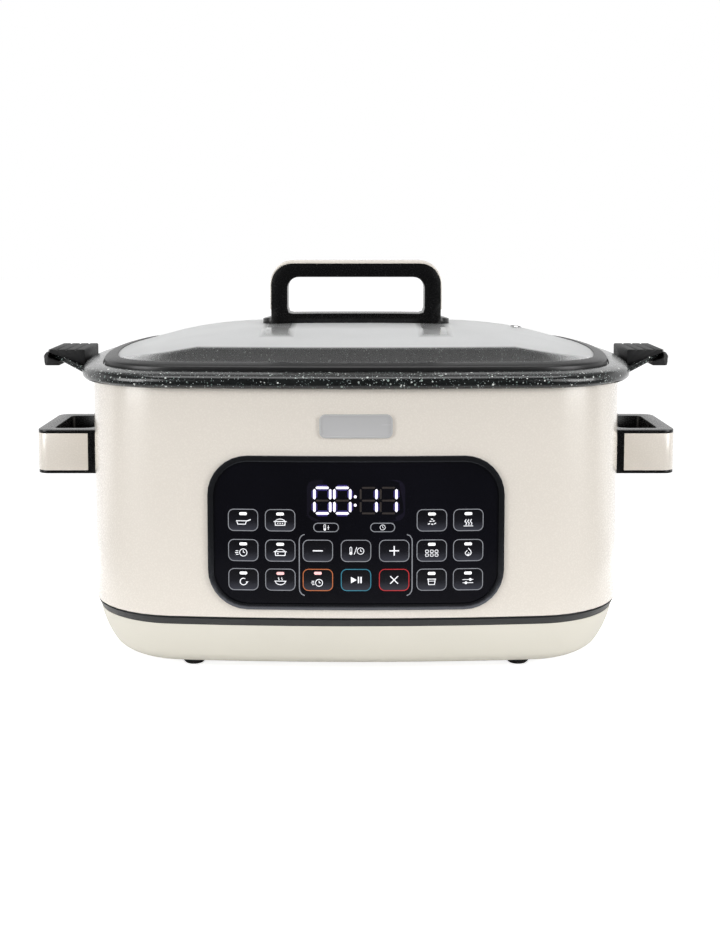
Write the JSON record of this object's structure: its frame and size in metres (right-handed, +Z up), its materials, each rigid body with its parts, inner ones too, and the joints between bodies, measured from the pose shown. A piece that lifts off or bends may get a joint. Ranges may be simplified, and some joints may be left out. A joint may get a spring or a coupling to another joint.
{
  "type": "slow cooker",
  "caption": "Rounded rectangular countertop slow cooker with touch control panel, carrying handles, lift-out stone-coated pot with grips, and domed glass lid with loop handle",
  "frame": {"origin": "on the table, under the middle of the cooker's outer box, lid closed", "axes": "+X towards the right hand of someone facing the control panel, along the width over the carrying handles; +Y from the control panel to the rear; +Z up"},
  "size_m": [0.4764, 0.2956, 0.2854],
  "materials": {
    "housing_paint": "cream satin paint",
    "base_plastic": "cream, fine satin",
    "black_plastic": "black, fine satin",
    "foot_rubber": "matt black",
    "plated_steel": "zinc plated",
    "liner_steel": "aluminised sheet",
    "heater_casting": "as cast",
    "heater_sheath": "dark oxidised",
    "fuse_sleeve": "glass-fibre sleeve",
    "sensor_cap": "spun, satin",
    "gunmetal_trim": "dark satin chrome",
    "panel_window": "black gloss, printed and lit from behind",
    "circuit_board": "green laminate",
    "display_black": "dark lens over segments",
    "lamp_white": "milky light guide",
    "badge_silver": "satin",
    "contact_brass": "bare",
    "power_laminate": "brown laminate",
    "lead_grey": "insulated",
    "lead_white": "glass-fibre sleeved",
    "pot_stone_coating": "stone-speckled non-stick coating on cast aluminium",
    "grip_silicone": "matt black silicone",
    "lid_glass": "clear tempered glass",
    "gasket_silicone": "dark grey silicone",
    "polished_steel": "polished"
  },
  "bodies": {
    "housing": {"outer_shell": "housing_paint", "rear_panel": "housing_paint", "shell_ring": "plated_steel", "trim_band": "black_plastic", "base_shell": "base_plastic", "foot_front_left": "foot_rubber", "foot_front_right": "foot_rubber", "foot_rear_left": "foot_rubber", "foot_rear_right": "foot_rubber", "base_screws": "plated_steel", "top_collar": "black_plastic", "inner_liner": "liner_steel", "liner_screws": "plated_steel", "heating_plate": "heater_casting", "heating_element": "heater_sheath", "heater_posts": "plated_steel", "thermal_fuse": "fuse_sleeve", "sensor_guide": "plated_steel", "sensor_spring": "plated_steel", "control_bezel": "gunmetal_trim", "control_window": "panel_window", "control_tray": "black_plastic", "control_board": "circuit_board", "display_module": "display_black", "key_lamps": "lamp_white", "tray_screws": "plated_steel", "front_badge": "badge_silver", "side_handle_left": "black_plastic", "side_handle_right": "black_plastic", "handle_cover_left": "housing_paint", "handle_cover_right": "housing_paint", "side_handle_screws": "plated_steel", "power_inlet": "black_plastic", "inlet_pins": "contact_brass", "inlet_screws": "plated_steel", "power_board": "power_laminate", "board_posts": "base_plastic", "ribbon_cable": "lead_grey", "mains_leads": "lead_grey", "heater_leads": "lead_white"},
    "pot": {"cooking_pot": "pot_stone_coating", "pot_grip_left": "grip_silicone", "pot_grip_right": "grip_silicone"},
    "lid": {"lid_glass": "lid_glass", "lid_gasket": "gasket_silicone", "lid_handle": "black_plastic", "lid_handle_cap": "housing_paint", "handle_washers": "gasket_silicone", "lid_screws": "plated_steel", "steam_vent": "polished_steel"},
    "sensor": {"temperature_sensor": "sensor_cap", "sensor_clip": "plated_steel"}
  },
  "joints": [
    {"name": "pot_lift", "type": "slide", "parent": "housing", "child": "pot", "axis": [0, 0, 1], "range_m": [0, 0.14]},
    {"name": "lid_lift", "type": "slide", "parent": "pot", "child": "lid", "axis": [0, 0, 1], "range_m": [0, 0.1]},
    {"name": "sensor_press", "type": "slide", "parent": "housing", "child": "sensor", "axis": [0, 0, 1], "range_m": [-0.003, 0], "stiffness_N_per_m": 400, "springref_m": 0.003, "deforming": ["sensor_spring"]}
  ]
}
